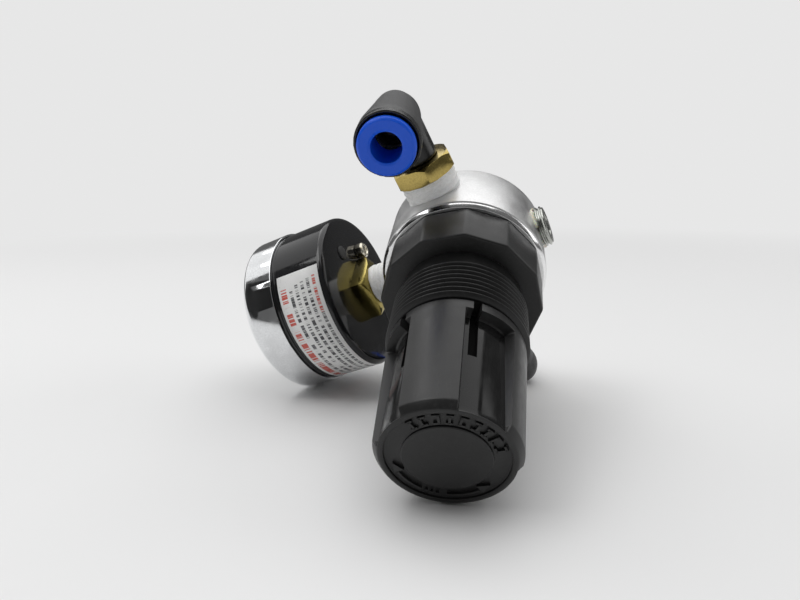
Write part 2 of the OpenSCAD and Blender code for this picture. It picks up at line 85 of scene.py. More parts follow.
class Finish:
    # a node material, with short calls for the nodes that these finishes share

    def __init__(self, name, color, roughness, metallic=0.0, place=identity, **settings):
        self.material = bpy.data.materials.new(name)
        self.material.use_nodes = True
        self.tree = self.material.node_tree
        self.shader = self.tree.nodes["Principled BSDF"]
        self.shader.inputs["Base Color"].default_value = (*color, 1)
        self.shader.inputs["Roughness"].default_value = roughness
        self.shader.inputs["Metallic"].default_value = metallic
        for key, value in settings.items():
            self.shader.inputs[key].default_value = value
        self.bump = None
        coords = self.tree.nodes.new("ShaderNodeTexCoord")
        # object coordinates, brought back to the piece's own frame in millimetres
        back = (toBench @ place).inverted()
        mapping = self.node("ShaderNodeMapping")
        mapping.inputs["Location"].default_value = back.to_translation()
        mapping.inputs["Rotation"].default_value = back.to_euler("XYZ")
        mapping.inputs["Scale"].default_value = (1000, 1000, 1000)
        self.link(coords.outputs["Object"], mapping.inputs["Vector"])
        self.coords = mapping.outputs["Vector"]

    def node(self, kind, **settings):
        made = self.tree.nodes.new(kind)
        for key, value in settings.items():
            setattr(made, key, value)
        return made

    def link(self, source, target):
        self.tree.links.new(source, target)

    def scaled(self, x, y, z):
        mapping = self.node("ShaderNodeMapping")
        mapping.inputs["Scale"].default_value = (x, y, z)
        self.link(self.coords, mapping.inputs["Vector"])
        return mapping.outputs["Vector"]

    def noise(self, scale, detail=3.0, rough=0.55, vector=None):
        made = self.node("ShaderNodeTexNoise")
        made.inputs["Scale"].default_value = scale
        made.inputs["Detail"].default_value = detail
        made.inputs["Roughness"].default_value = rough
        self.link(vector or self.coords, made.inputs["Vector"])
        return made.outputs["Fac"]

    def math(self, operation, a, b=0.0, clamp=False):
        made = self.node("ShaderNodeMath", operation=operation, use_clamp=clamp)
        for socket, value in zip(made.inputs, (a, b)):
            if isinstance(value, (int, float)):
                socket.default_value = value
            else:
                self.link(value, socket)
        return made.outputs[0]

    def ramp(self, value, low, high, outLow=0.0, outHigh=1.0):
        made = self.node("ShaderNodeMapRange")
        self.link(value, made.inputs["Value"])
        limits = {"From Min": low, "From Max": high, "To Min": outLow, "To Max": outHigh}
        for key, number in limits.items():
            made.inputs[key].default_value = number
        return made.outputs["Result"]

    def mix(self, fac, a, b):
        made = self.node("ShaderNodeMix", data_type="RGBA")
        self.link(fac, made.inputs["Factor"])
        for socket, value in ((made.inputs["A"], a), (made.inputs["B"], b)):
            if isinstance(value, tuple):
                socket.default_value = (*value, 1)
            else:
                self.link(value, socket)
        return made.outputs["Result"]

    def color(self, source):
        self.link(source, self.shader.inputs["Base Color"])

    def roughness(self, source):
        self.link(source, self.shader.inputs["Roughness"])

    def bumped(self, height, strength, distance=0.05):
        made = self.node("ShaderNodeBump")
        made.inputs["Strength"].default_value = strength
        made.inputs["Distance"].default_value = distance * mm
        self.link(height, made.inputs["Height"])
        if self.bump:
            self.link(self.bump, made.inputs["Normal"])
        self.bump = made.outputs["Normal"]
        self.link(self.bump, self.shader.inputs["Normal"])

    def split(self):
        made = self.node("ShaderNodeSeparateXYZ")
        self.link(self.coords, made.inputs["Vector"])
        return made.outputs

    def radius(self):
        made = self.split()
        flat = self.node("ShaderNodeCombineXYZ")
        self.link(made["X"], flat.inputs["X"])
        self.link(made["Y"], flat.inputs["Y"])
        length = self.node("ShaderNodeVectorMath", operation="LENGTH")
        self.link(flat.outputs["Vector"], length.inputs[0])
        return length.outputs["Value"]

    def angle(self):
        made = self.split()
        return self.math("ARCTAN2", made["Y"], made["X"])

    def ringCoords(self):
        # (radius, 0, height): a pattern on these runs round the piece in rings
        made = self.node("ShaderNodeCombineXYZ")
        self.link(self.radius(), made.inputs["X"])
        self.link(self.split()["Z"], made.inputs["Z"])
        return made.outputs["Vector"]


def turnedMetal(name, color, roughness, place=identity, lines=3.0, depth=0.3, stain=0.0):
    # lathe rings, with a little unevenness in gloss and a faint stain
    made = Finish(name, color, roughness, 1.0, place)
    rings = made.noise(lines, 4.0, 0.7, made.ringCoords())
    cloudy = made.noise(0.22, 3.0)
    fine = made.noise(2.4, 4.0)
    ringGloss = made.ramp(rings, 0.3, 0.7, -0.06, 0.06)
    cloudGloss = made.ramp(cloudy, 0.3, 0.7, -0.05, 0.07)
    gloss = made.math("ADD", ringGloss, cloudGloss)
    made.roughness(made.math("ADD", gloss, roughness, True))
    dark = tuple(c * (0.86 - stain) for c in color)
    made.color(made.mix(made.ramp(made.math("MULTIPLY", cloudy, fine), 0.16, 0.36), dark, color))
    made.bumped(rings, depth, 0.03)
    return made.material


def mouldedPlastic(name, color, roughness, place=identity, grain=9.0, depth=0.25, dust=0.03, shine=0.38):
    # fine moulded grain, handling gloss on the proud areas and a little pale dust
    made = Finish(name, color, roughness, 0.0, place, **{"Specular IOR Level": shine})
    grainy = made.noise(grain, 5.0, 0.65)
    cloudy = made.noise(0.22, 3.0)
    scuffs = made.noise(1.3, 6.0, 0.72, made.scaled(1, 1, 0.3))
    cloudGloss = made.ramp(cloudy, 0.32, 0.68, -0.04, 0.05)
    scuffGloss = made.ramp(scuffs, 0.4, 0.7, -0.02, 0.06)
    gloss = made.math("ADD", cloudGloss, scuffGloss)
    made.roughness(made.math("ADD", gloss, roughness, True))
    pale = tuple(c + dust for c in color)
    made.color(made.mix(made.ramp(scuffs, 0.52, 0.8), color, pale))
    made.bumped(grainy, depth, 0.02)
    return made.material


def elbowPlastic(name, place, shape):
    # matt grey barrel, darker and glossier near the front ring and along the leg, where the black is
    # painted shade; local Z is the tube's axis
    made = Finish(name, shape["grey"], 0.45, 0.0, place, **{"Specular IOR Level": 0.42})
    axes = made.split()
    # masks for painted shade: the front ring by the collet and the leg behind the barrel
    front = made.ramp(axes["Z"], shape["ringFrom"] - 0.05, shape["ringFrom"] + 0.1)
    leg = made.ramp(axes["X"], shape["legFrom"] - 1.2, shape["legFrom"] + 1.2)
    dark = made.math("ADD", front, leg, True)
    grainy = made.noise(6.0, 5.0, 0.65)
    scuffs = made.noise(1.1, 6.0, 0.72)
    pale = tuple(c + shape["rub"] for c in shape["grey"])
    rubbed = made.mix(made.ramp(scuffs, 0.42, 0.72), shape["grey"], pale)
    # the black mixed in here is painted shade on the same plastic
    made.color(made.mix(dark, rubbed, shape["black"]))
    share = made.math("SUBTRACT", 1.0, dark)
    matt = made.math("MULTIPLY", made.ramp(scuffs, 0.35, 0.7, 0.4, 0.52), share)
    gloss = made.math("MULTIPLY", made.ramp(scuffs, 0.35, 0.7, 0.2, 0.3), dark)
    made.roughness(made.math("ADD", matt, gloss))
    made.bumped(grainy, 0.3, 0.02)
    return made.material


def softRubber(name, color, roughness=0.6, place=identity):
    made = Finish(name, color, roughness, 0.0, place)
    mottled = made.noise(2.5, 4.0)
    made.roughness(made.ramp(mottled, 0.3, 0.7, roughness - 0.1, roughness + 0.12))
    made.color(made.mix(mottled, color, tuple(c + 0.03 for c in color)))
    made.bumped(made.noise(6.0, 3.0), 0.3, 0.03)
    return made.material


def windingTape(name, place):
    # soft white thread tape: thin bands and slanted wrinkles, with painted shade that greys the wrinkles'
    # hollows
    made = Finish(name, (0.9, 0.9, 0.88), 0.42, 0.0, place, **{
        "Subsurface Weight": 0.25, "Subsurface Scale": 0.0012,
        "Subsurface Radius": (1.0, 0.9, 0.8)})
    axes = made.split()
    slant = made.math("ADD", axes["Z"], made.math("MULTIPLY", made.angle(), 0.32))
    band = made.math("PINGPONG", made.math("MULTIPLY", slant, 1.4), 1.0)
    wrinkles = made.noise(1.6, 5.0, 0.65, made.scaled(1, 1, 3.2))
    threads = made.noise(5.0, 3.0, 0.6, made.ringCoords())
    # painted shade: grey where the wrinkle height is low, white on its crests
    made.color(made.mix(made.ramp(wrinkles, 0.3, 0.62), (0.78, 0.78, 0.765), (0.97, 0.97, 0.96)))
    made.roughness(made.ramp(wrinkles, 0.3, 0.7, 0.34, 0.55))
    made.bumped(band, 0.35, 0.1)
    made.bumped(wrinkles, 0.6, 0.14)
    made.bumped(threads, 0.35, 0.08)
    return made.material


def clearGlass(name):
    made = Finish(name, (0.96, 0.98, 0.98), 0.04, 0.0, gaugePort, **{
        "Transmission Weight": 0.96, "IOR": 1.46})
    made.roughness(made.ramp(made.noise(0.4, 3.0), 0.3, 0.7, 0.02, 0.07))
    return made.material


def printedLabel(name, inks):
    # a white film with rows of strokes that stand for print: small rows that open in red, then a
    # larger red one by the ring
    made = Finish(name, (0.86, 0.86, 0.85), 0.32, 0.0, gaugePort, **{"Coat Weight": 0.2})
    height = made.split()["Z"]
    along = made.math("MULTIPLY", made.angle(), inks["radius"])
    row = made.math("DIVIDE", made.math("SUBTRACT", height, inks["first"]), inks["pitch"])
    index = made.math("FLOOR", row)

    def strokes(line, size, word, low, high):
        # upright strokes broken into words, each row with its own pattern
        at = made.node("ShaderNodeCombineXYZ")
        made.link(along, at.inputs["X"])
        made.link(made.math("MULTIPLY", line, 7.31), at.inputs["Y"])
        letters = made.noise(size, 2.0, 0.8, at.outputs["Vector"])
        words = made.noise(word, 1.0, 0.5, at.outputs["Vector"])
        return made.math("MULTIPLY", made.ramp(letters, low, high), made.ramp(words, 0.36, 0.39))

    def both(a, b):
        return made.math("MULTIPLY", a, b)

    def above(value, low):
        return made.math("GREATER_THAN", value, low)

    def below(value, high):
        return made.math("LESS_THAN", value, high)

    def between(value, low, high):
        return both(above(value, low), below(value, high))

    # each row starts a little further round than the last
    indent = made.math("MULTIPLY", index, inks["indent"])
    started = below(along, made.math("SUBTRACT", inks["start"], indent))
    small = both(between(made.math("FRACT", row), 0.24, 0.76), between(index, -0.5, inks["rows"] - 0.5))
    small = both(both(small, started), strokes(index, inks["stroke"], inks["word"], 0.45, 0.52))
    large = both(between(height, *inks["largeRow"]), below(along, inks["start"] - inks["largeIndent"]))
    large = both(large, strokes(large, inks["stroke"] * 0.62, inks["word"] * 0.8, 0.44, 0.5))
    opening = both(below(index, 0.5), above(along, inks["redTo"]))
    red = made.math("ADD", opening, above(height, inks["largeRow"][0] - 0.2), True)
    inkColor = made.mix(red, inks["black"], inks["red"])
    paper = made.mix(made.noise(0.5, 4.0), (0.82, 0.82, 0.81), (0.88, 0.88, 0.87))
    made.color(made.mix(made.math("ADD", small, large, True), paper, inkColor))
    made.roughness(made.ramp(made.noise(1.2, 4.0), 0.3, 0.7, 0.24, 0.42))
    made.bumped(made.noise(0.8, 3.0), 0.15, 0.05)
    return made.material


def glossEnamel(name, color, place):
    made = Finish(name, color, 0.09, 0.0, place, **{"Specular IOR Level": 0.42})
    made.roughness(made.ramp(made.noise(0.6, 5.0), 0.35, 0.75, 0.06, 0.16))
    dust = made.ramp(made.noise(3.0, 5.0, 0.7), 0.62, 0.8)
    made.color(made.mix(dust, color, tuple(c + 0.05 for c in color)))
    made.bumped(made.noise(1.3, 3.0), 0.12, 0.04)
    return made.material


def crystallineSealant(name):
    made = Finish(name, (0.55, 0.46, 0.22), 0.3, 0.0, plugPort, **{
        "Subsurface Weight": 0.3, "Subsurface Scale": 0.0006})
    lumps = made.noise(2.2, 4.0)
    made.color(made.mix(lumps, (0.6, 0.57, 0.42), (0.84, 0.83, 0.74)))
    made.roughness(made.ramp(lumps, 0.3, 0.7, 0.2, 0.45))
    made.bumped(lumps, 0.5, 0.1)
    return made.material


def printedInk(name, color):
    made = Finish(name, color, 0.4, 0.0, gaugePort)
    made.color(made.mix(made.noise(4.0, 4.0), color, tuple(c + 0.04 for c in color)))
    made.roughness(made.ramp(made.noise(3.0, 3.0), 0.3, 0.7, 0.35, 0.5))
    return made.material


silver = (0.69, 0.69, 0.69)
brassTone = (0.5, 0.385, 0.125)
elbowTone = {
    # black: painted shade for the elbow's front ring and leg
    "grey": (0.045, 0.045, 0.046), "black": (0.008, 0.008, 0.008), "rub": 0.03,
    "ringFrom": 17.2, "legFrom": 5.6,
}
finishes = {
    "body": turnedMetal("turnedBody", silver, 0.36, identity, 2.6, 0.75),
    "rim": turnedMetal("brightRim", (0.9, 0.9, 0.9), 0.12, identity, 1.0, 0.1),
    "bonnet": mouldedPlastic("bonnetPlastic", (0.008, 0.008, 0.008), 0.36, dust=0.014, depth=0.4),
    "knob": mouldedPlastic("knobPlastic", (0.013, 0.013, 0.013), 0.36, grain=7.0, dust=0.012),
    # flute floors: glossier, and painted darker and less reflective than the lands as shade in the flutes
    "knobGlossShade": mouldedPlastic("knobFluteGlossShade", (0.008, 0.008, 0.008), 0.12, grain=5.0, depth=0.1,
                                dust=0.004, shine=0.2),
    "knobDeep": mouldedPlastic("knobSlitShade", (0.004, 0.004, 0.004), 0.8, dust=0.002, shine=0.05),
    "outletBrass": turnedMetal("outletBrass", brassTone, 0.17, outletStem, 1.8, 0.35, 0.14),
    "inletBrass": turnedMetal("inletBrass", brassTone, 0.17, inletStem, 1.8, 0.35, 0.14),
    "gaugeBrass": turnedMetal("gaugeBrass", (0.42, 0.34, 0.1), 0.18, gaugePort, 1.8, 0.35, 0.2),
    "innerBrass": turnedMetal("innerBrass", (0.72, 0.57, 0.26), 0.3, identity, 2.0, 0.2),
    "steel": turnedMetal("springSteel", (0.6, 0.6, 0.62), 0.35, identity, 2.0, 0.3),
    "plug": turnedMetal("platedPlug", (0.5, 0.51, 0.48), 0.24, plugPort, 2.2, 0.35, 0.1),
    "rubber": softRubber("blackRubber", (0.025, 0.025, 0.025)),
    "outletTape": windingTape("outletTape", outletStem),
    "inletTape": windingTape("inletTape", inletStem),
    "gaugeTape": windingTape("gaugeTape", gaugePort),
    "outletElbow": elbowPlastic("outletElbowPlastic", outletTube, elbowTone),
    "inletElbow": elbowPlastic("inletElbowPlastic", inletTube, elbowTone),
    "outletCollet": mouldedPlastic("outletColletPlastic", (0.003, 0.098, 0.74), 0.36, outletTube,
                                   5.0, 0.2, 0.02),
    "inletCollet": mouldedPlastic("inletColletPlastic", (0.004, 0.1, 0.78), 0.36, inletTube,
                                  5.0, 0.2, 0.02),
    "enamel": glossEnamel("gaugeEnamel", (0.012, 0.012, 0.013), gaugePort),
    "chrome": turnedMetal("polishedRing", (0.8, 0.81, 0.82), 0.09, gaugePort, 0.8, 0.06),
    "screw": turnedMetal("screwPlate", (0.7, 0.66, 0.55), 0.2, gaugePort, 3.0, 0.2, 0.1),
    "glass": clearGlass("gaugeGlass"),
    "dial": softRubber("dialPaint", (0.86, 0.86, 0.84), 0.5, gaugePort),
    "ink": printedInk("dialInk", (0.02, 0.02, 0.02)),
    "redInk": printedInk("dialRed", (0.55, 0.03, 0.02)),
    "label": printedLabel("labelFilm", {
        "radius": 21.3, "first": 32.7, "pitch": 1.78, "rows": 5, "largeRow": (42.0, 43.7),
        "start": 18.3, "indent": 0.35, "largeIndent": 1.2, "redTo": 8.5, "stroke": 1.9, "word": 0.42,
        "black": (0.06, 0.06, 0.065), "red": (0.62, 0.08, 0.05)}),
    "white": softRubber("whiteAcetal", (0.78, 0.78, 0.73), 0.45),
    "sealant": crystallineSealant("threadSealant"),
}
print("finishes made:", len(finishes))


# mesh helpers

def profile(points, steps=128, sweep=360.0, start=0.0):
    # spins a line of (radius, height) points about the local Z axis
    bm = bmesh.new()
    verts = [bm.verts.new((r, 0, z)) for r, z in points]
    edges = [bm.edges.new(pair) for pair in zip(verts, verts[1:])]
    if start:
        bmesh.ops.rotate(bm, cent=(0, 0, 0), matrix=Matrix.Rotation(rad(start), 3, "Z"), verts=verts)
    bmesh.ops.spin(bm, geom=verts + edges, cent=(0, 0, 0), axis=(0, 0, 1), dvec=(0, 0, 0),
                   angle=rad(sweep), steps=steps, use_merge=sweep == 360.0, use_duplicate=False)
    bmesh.ops.remove_doubles(bm, verts=bm.verts, dist=0.0005)
    bmesh.ops.recalc_face_normals(bm, faces=bm.faces)
    return bm


def rounded(points, radii, segments=4):
    # the same line with each named corner rounded: radii maps a point's index to its radius
    line = []
    for i, here in enumerate(points):
        radius = radii.get(i, 0)
        if not radius:
            line.append(here)
            continue
        at = Vector(here)
        before = Vector(points[i - 1]) - at
        after = Vector(points[(i + 1) % len(points)]) - at
        angle = before.angle(after)
        back = min(radius / math.tan(angle / 2), before.length * 0.49, after.length * 0.49)
        first = at + before.normalized() * back
        last = at + after.normalized() * back
        for k in range(segments + 1):
            t = k / segments
            line.append(tuple(first * (1 - t) ** 2 + at * 2 * t * (1 - t) + last * t * t))
    return line


def shade(mesh, sharpAngle):
    mesh.shade_smooth()
    mesh.set_sharp_from_angle(angle=rad(sharpAngle))


def finishPiece(bm, name, place, body, material, replaced=(), sharpAngle=32):
    bmesh.ops.transform(bm, matrix=Matrix.Scale(mm, 4) @ toBench @ place, verts=bm.verts)
    mesh = bpy.data.meshes.new(name)
    bm.to_mesh(mesh)
    bm.free()
    shade(mesh, sharpAngle)
    piece = bpy.data.objects.new(name, mesh)
    bpy.context.scene.collection.objects.link(piece)
    mesh.materials.append(material)
    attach(piece, body)
    if replaced:
        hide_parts(*replaced)
    return piece


def softened(node, width, body, material, segments=2, edgeAngle=30):
    # a CAD node's copy with its edges broken, as a machined or moulded piece has them
    bm = bmesh.new()
    bm.from_mesh(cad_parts[node].data)
    bmesh.ops.remove_doubles(bm, verts=bm.verts, dist=0.003 * mm)
    bmesh.ops.dissolve_limit(bm, angle_limit=rad(0.8), verts=bm.verts, edges=bm.edges,
                             use_dissolve_boundaries=False)
    sharp = [e for e in bm.edges if len(e.link_faces) == 2 and e.calc_face_angle(0) > rad(edgeAngle)]
    bmesh.ops.bevel(bm, geom=sharp, offset=width * mm, offset_type="OFFSET", segments=segments,
                    profile=0.5, affect="EDGES", clamp_overlap=True, material=-1)
    mesh = bpy.data.meshes.new(node + "_edged")
    bm.to_mesh(mesh)
    bm.free()
    shade(mesh, 40)
    piece = bpy.data.objects.new(node + "_edged", mesh)
    bpy.context.scene.collection.objects.link(piece)
    mesh.materials.append(material)
    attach(piece, body)
    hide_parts(node)
    return piece


def dress(node, material):
    # a CAD node whose shape is right, given its finish
    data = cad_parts[node].data
    data.materials.clear()
    data.materials.append(material)


# regulator body

bodyShape = {
    "radius": 20.0, "length": 20.0, "groove": 0.35, "plugR": 8.6, "recessR": 17.2, "recess": 1.5,
    "brightTo": -1.2,
}


def makeBody(shape):
    r = shape["radius"]
    back = -shape["length"]
    line = [
        (shape["plugR"], back), (r - 1.0, back), (r, back + 1.0), (r, -1.72),
        (r - shape["groove"], -1.55), (r - shape["groove"], -1.1), (r - 0.05, -0.92), (r - 0.75, 0.0),
        (shape["recessR"], 0.0), (shape["recessR"], -shape["recess"]),
    ]
    bm = profile(rounded(line, {1: 0.4, 2: 0.5, 3: 0.06, 4: 0.05, 5: 0.05, 6: 0.08, 7: 0.1}, 3), 192)
    piece = finishPiece(bm, "body_shell", identity, "regulator", finishes["body"],
                        ("body",), 50)
    piece.data.materials.append(finishes["rim"])
    fromBench = toBench.inverted()
    for face in piece.data.polygons:
        if (fromBench @ (face.center / mm)).z > shape["brightTo"]:
            face.material_index = 1


makeBody(bodyShape)

# bonnet

bonnetShape = {
    "flangeR": 19.1, "taper": 0.45, "height": 11.0, "turn": 4.0, "edge": 0.55,
    "neckR": 14.1, "threadZ": 15.6, "pitch": 1.5, "crests": 8, "crestR": 15.0, "depth": 0.8,
    "snoutR": 10.4, "snoutTop": 46.0, "screwR": 4.05,
}


def makeBonnet(shape):
    bm = bmesh.new()
    bmesh.ops.create_cone(bm, cap_ends=True, cap_tris=False, segments=12, radius1=shape["flangeR"],
                          radius2=shape["flangeR"] - shape["taper"], depth=shape["height"],
                          matrix=turn(shape["turn"], "Z") @ move(0, 0, shape["height"] / 2))
    bmesh.ops.bevel(bm, geom=list(bm.edges), offset=shape["edge"], offset_type="OFFSET", segments=4,
                    profile=0.5, affect="EDGES", clamp_overlap=True, material=-1)
    finishPiece(bm, "bonnet_flange", identity, "regulator", finishes["bonnet"],
                ("bonnet",), 38)
    p = shape["pitch"]
    root = shape["crestR"] - shape["depth"]
    crest = shape["crestR"]
    start = shape["threadZ"]
    line = [(shape["neckR"], shape["height"] - 1.0), (shape["neckR"], start - 0.3), (root, start)]
    for i in range(shape["crests"]):
        z = start + i * p
        line += [
            (root + 0.05, z + 0.1 * p), (crest - 0.08, z + 0.4 * p), (crest, z + 0.45 * p),
            (crest, z + 0.55 * p), (crest - 0.08, z + 0.6 * p), (root + 0.05, z + 0.9 * p),
        ]
    top = start + shape["crests"] * p
    snout = shape["snoutR"]
    tip = shape["snoutTop"]
    line += [
        (root - 0.3, top), (snout + 0.3, top), (snout, top + 0.3), (snout, tip - 0.4),
        (snout - 0.4, tip), (shape["screwR"], tip), (shape["screwR"], tip - 3),
    ]
    finishPiece(profile(line, 144), "bonnet_neck", identity, "regulator",
                finishes["bonnet"], (), 55)


makeBonnet(bonnetShape)
print("body and bonnet made")

# knob

knobShape = {
    "base": 28.2, "length": 27.2, "turn": 81.0, "skirtR": 14.2, "landTopR": 13.06, "floorR": 12.1,
    "collar": 2.8, "land": 46.0, "blend": 1.4, "chamfer": 1.35, "bore": 10.7,
    "slit": 1.7, "slitAt": 32.0, "slitFloor": 10.75, "slitTop": 14.3, "steps": 480, "rings": 15,
    "grooveOuter": 10.98, "grooveInner": 7.98, "wallR": 11.6, "fluteR": 11.3,
}


def isFlute(face, shape):
    # the smooth floors between the lands
    c = face.calc_center_median()
    alongFlute = shape["collar"] + 0.2 < c.z < shape["length"] - 0.3
    return alongFlute and shape["fluteR"] < math.hypot(c.x, c.y) < shape["floorR"] + 0.12


def makeKnob(shape):
    top = shape["length"]
    base = shape["skirtR"]
    line = [
        (shape["bore"], 5.0), (shape["bore"], 0.3), (shape["bore"] + 0.3, 0.0), (base - 0.55, 0.0),
        (base - 0.12, 0.14), (base, 0.55), (base, shape["collar"] - 0.25), (base - 0.02, shape["collar"]),
        (base - 0.04, shape["collar"] + 0.3),
    ]
    landLength = top - shape["chamfer"] - 0.35 - shape["collar"] - 0.3
    for k in range(1, shape["rings"] + 1):
        z = shape["collar"] + 0.3 + landLength * k / shape["rings"]
        share = (z - shape["collar"]) / (top - shape["chamfer"] - shape["collar"])
        line.append((base - (base - shape["landTopR"]) * share, z))
    tip = shape["landTopR"]
    line += [
        (tip - 0.01, top - shape["chamfer"] - 0.12), (tip - 0.1, top - shape["chamfer"] + 0.08),
        (tip - 0.85, top - 0.3), (tip - 1.05, top - 0.1), (tip - 1.25, top), (11.15, top),
        (shape["grooveOuter"], top - 0.1), (shape["grooveOuter"] - 0.06, top - 0.5),
        (10.6, top - 0.62), (8.3, top - 0.62), (shape["grooveInner"], top - 0.5),
        (shape["grooveInner"] - 0.06, top - 0.12), (7.75, top), (5.0, top), (0.0, top),
    ]
    bm = profile(line, shape["steps"])
    half = shape["land"] / 2
    for v in bm.verts:
        r = math.hypot(v.co.x, v.co.y)
        if r < shape["floorR"] - 0.02 or v.co.z < shape["collar"] - 0.01:
            continue
        theta = math.degrees(math.atan2(v.co.y, v.co.x)) % 90
        off = min(theta, 90 - theta) - half
        press = min(max(off / shape["blend"] + 0.25, 0), 1)
        press = press * press * (3 - 2 * press)
        if v.co.z < shape["collar"] + 0.1:
            press *= 0.85
        floorR = shape["floorR"] - 0.12 * (v.co.z / top)
        if r > floorR:
            scale = 1 + (floorR / r - 1) * press
            v.co.x *= scale
            v.co.y *= scale
    # the four slits that free the two snap fingers
    cut = []
    for face in bm.faces:
        c = face.calc_center_median()
        r = math.hypot(c.x, c.y)
        if not (0.2 < c.z < shape["slitTop"]) or r < shape["wallR"]:
            continue
        theta = math.degrees(math.atan2(c.y, c.x)) % 180
        width = math.degrees(shape["slit"] / 2 / r)
        if min(abs(theta - shape["slitAt"]), abs(theta - 180 + shape["slitAt"])) < width:
            cut.append(face)
    made = bmesh.ops.extrude_face_region(bm, geom=cut)
    bmesh.ops.delete(bm, geom=cut, context="FACES")
    for v in [g for g in made["geom"] if isinstance(g, bmesh.types.BMVert)]:
        r = math.hypot(v.co.x, v.co.y)
        v.co.x *= shape["slitFloor"] / r
        v.co.y *= shape["slitFloor"] / r
    bm.faces.index_update()
    gloss = [f.index for f in bm.faces if isFlute(f, shape)]
    deep = [g.index for g in made["geom"] if isinstance(g, bmesh.types.BMFace)]
    piece = finishPiece(bm, "knob_grip", move(0, 0, shape["base"]) @ turn(shape["turn"], "Z"),
                        "knob", finishes["knob"], ("knob",), 34)
    piece.data.materials.append(finishes["knobGlossShade"])
    piece.data.materials.append(finishes["knobDeep"])
    # the flute floors take the glossy finish, darkened as painted shade
    for index in gloss:
        piece.data.polygons[index].material_index = 1
    for index in deep:
        piece.data.polygons[index].material_index = 2


makeKnob(knobShape)

knobMarks = {
    "radius": 9.45, "rise": 0.55, "floor": 26.5, "turn": -31.0, "bar": 0.5, "spread": 0.85,
    "letters": 9, "firstAt": -58, "pitch": 13.5, "arrow": (2.3, 2.0),
}


def arcBar(bm, radius, fromDeg, toDeg, width, z0, z1, steps=12):
    # a raised bar bent round the local axis
    verts = [bm.verts.new((radius + dr, 0, z)) for dr, z in
             ((-width / 2, z0), (-width / 2 + 0.06, z1), (width / 2 - 0.06, z1), (width / 2, z0))]
    edges = [bm.edges.new((verts[i], verts[(i + 1) % 4])) for i in range(4)]
    face = bm.faces.new(verts)
    turned = Matrix.Rotation(rad(fromDeg), 3, "Z")
    bmesh.ops.rotate(bm, cent=(0, 0, 0), matrix=turned, verts=verts)
    bmesh.ops.spin(bm, geom=[face] + edges + verts, cent=(0, 0, 0), axis=(0, 0, 1), dvec=(0, 0, 0),
                   angle=rad(toDeg - fromDeg), steps=steps, use_merge=False, use_duplicate=False)


def arrowHead(bm, radius, atDeg, length, width, z0, z1, way):
    # a raised triangle at the end of an arc
    flat = [(radius - width / 2, 0), (radius + width / 2, 0), (radius, way * length)]
    verts = [bm.verts.new((x, y, z0)) for x, y in flat]
    face = bm.faces.new(verts)
    made = bmesh.ops.extrude_face_region(bm, geom=[face])
    raised = [g for g in made["geom"] if isinstance(g, bmesh.types.BMVert)]
    bmesh.ops.translate(bm, vec=(0, 0, z1 - z0), verts=raised)
    bmesh.ops.rotate(bm, cent=(0, 0, 0), matrix=Matrix.Rotation(rad(atDeg), 3, "Z"), verts=verts + raised)


def makeKnobMarks(shape):
    bm = bmesh.new()
    z0 = shape["floor"]
    z1 = z0 + shape["rise"]
    r = shape["radius"]
    bar = shape["bar"]
    spread = shape["spread"]
    # a row of plain bars round one side, where a word would stand
    for k in range(shape["letters"]):
        at = shape["firstAt"] + k * shape["pitch"]
        arcBar(bm, r - spread, at, at + 7.5, bar, z0, z1, 5)
        arcBar(bm, r + spread, at, at + 7.0, bar, z0, z1, 5)
        arcBar(bm, r, at + (0, 4.6, 2.4)[k % 3], at + (2.6, 7.2, 5.0)[k % 3], 1.9, z0, z1, 3)
    # turning arrows on the other side
    arcBar(bm, r + 0.3, 134, 168, bar, z0, z1, 14)
    arrowHead(bm, r, 133, *shape["arrow"], z0, z1, -1)
    for at in (172, 178, 184):
        arcBar(bm, r + 0.3, at, at + 3, bar, z0, z1, 3)
    arcBar(bm, r + 0.3, 196, 232, bar, z0, z1, 14)
    arrowHead(bm, r, 233, *shape["arrow"], z0, z1, 1)
    bmesh.ops.recalc_face_normals(bm, faces=bm.faces)
    place = move(0, 0, knobShape["base"]) @ turn(knobShape["turn"] + shape["turn"], "Z")
    finishPiece(bm, "knob_marks", place, "knob", finishes["knob"], (), 30)


makeKnobMarks(knobMarks)
print("knob made")

# push-in elbows

elbowShape = {"voxel": 0.22, "smooth": 5}
colletShape = {
    "front": 21.3, "flange": 19.5, "outer": 6.1, "bore": 3.235, "sleeve": 4.3, "inner": 13.2,
}


def makeElbow(side, shape, body, material):
    # the moulding's inner corners are filleted by a fine remesh
    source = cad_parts[side + "_elbow"].data.copy()
    bm = bmesh.new()
    bm.from_mesh(source)
    bmesh.ops.remove_doubles(bm, verts=bm.verts, dist=0.003 * mm)
    bm.to_mesh(source)
    bm.free()
    piece = bpy.data.objects.new(side + "_elbow_moulding", source)
    bpy.context.scene.collection.objects.link(piece)
    remesh = piece.modifiers.new("fillets", "REMESH")
    remesh.mode = "VOXEL"
    remesh.voxel_size = shape["voxel"] * mm
    remesh.use_smooth_shade = True
    soften = piece.modifiers.new("soften", "SMOOTH")
    soften.factor = 0.5
    soften.iterations = shape["smooth"]
    evaluated = piece.evaluated_get(bpy.context.evaluated_depsgraph_get())
    mesh = bpy.data.meshes.new_from_object(evaluated)
    piece.modifiers.clear()
    piece.data = mesh
    mesh.materials.clear()
    mesh.materials.append(material)
    mesh.shade_smooth()
    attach(piece, body)
    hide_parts(side + "_elbow")
    print(side, "elbow faces", len(mesh.polygons))


